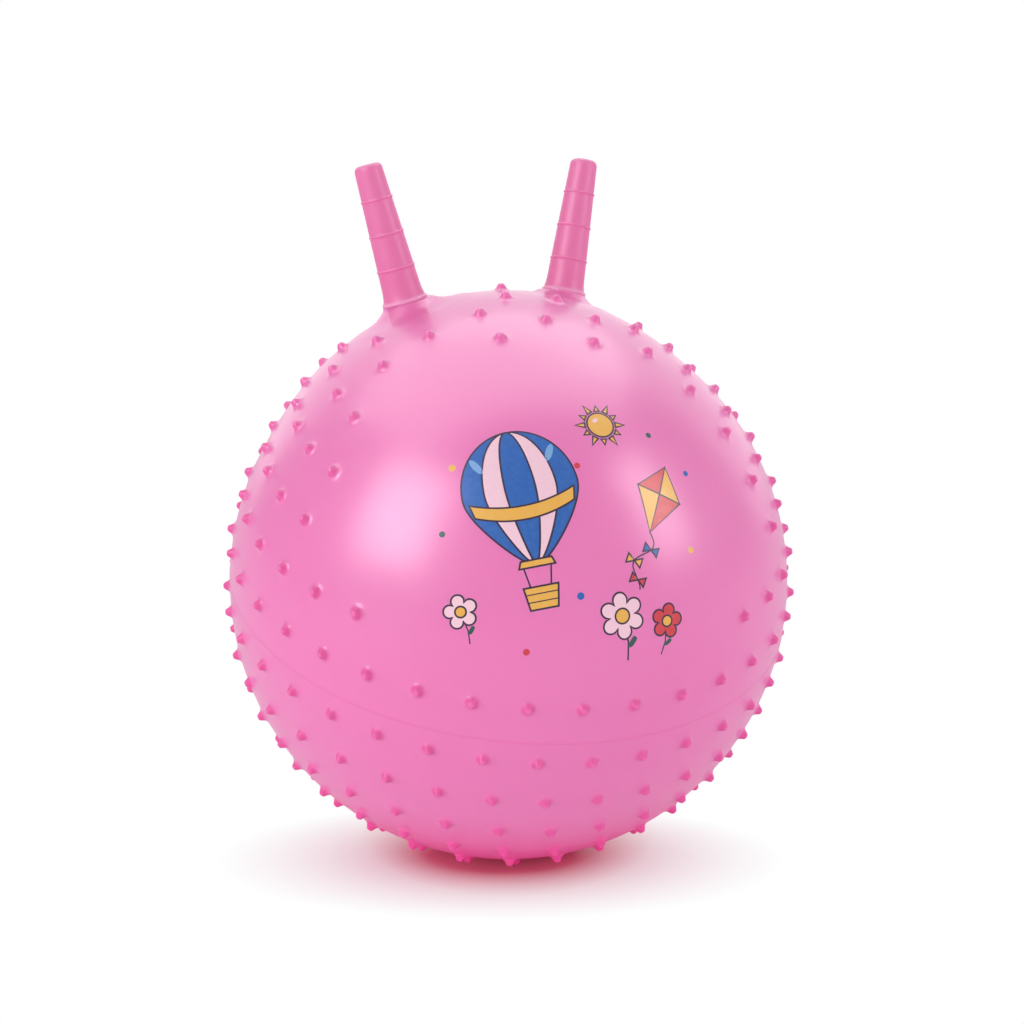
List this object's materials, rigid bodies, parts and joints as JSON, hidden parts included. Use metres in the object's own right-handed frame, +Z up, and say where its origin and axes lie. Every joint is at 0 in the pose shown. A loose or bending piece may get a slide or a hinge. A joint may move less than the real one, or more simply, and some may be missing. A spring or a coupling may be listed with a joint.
{
  "type": "hopper ball",
  "caption": "Soft hollow hopper ball with two tapered hand grips, rows of moulded nubs round a smooth print window, and an air valve with a plug.",
  "frame": {"origin": "middle of the pressed flat that the ball stands on, level with the floor", "axes": "+Z up, +Y towards the back, where the valve is, and +X to the right of the front, along the line of the two grips"},
  "size_m": [0.4608, 0.4562, 0.5531],
  "materials": {
    "skin": "soft satin PVC skin, lightly see-through",
    "grip": "soft satin PVC",
    "valve": "soft satin PVC, pale"
  },
  "bodies": {
    "ball": {"ball_skin": "skin", "left_grip": "grip", "right_grip": "grip", "valve_seat": "valve"},
    "valve_plug": {"valve_plug": "valve"}
  },
  "joints": [
    {"name": "valve_plug_slide", "type": "slide", "parent": "ball", "child": "valve_plug", "axis": [0, 0.8829, 0.4695], "range_m": [0, 0.03]}
  ]
}
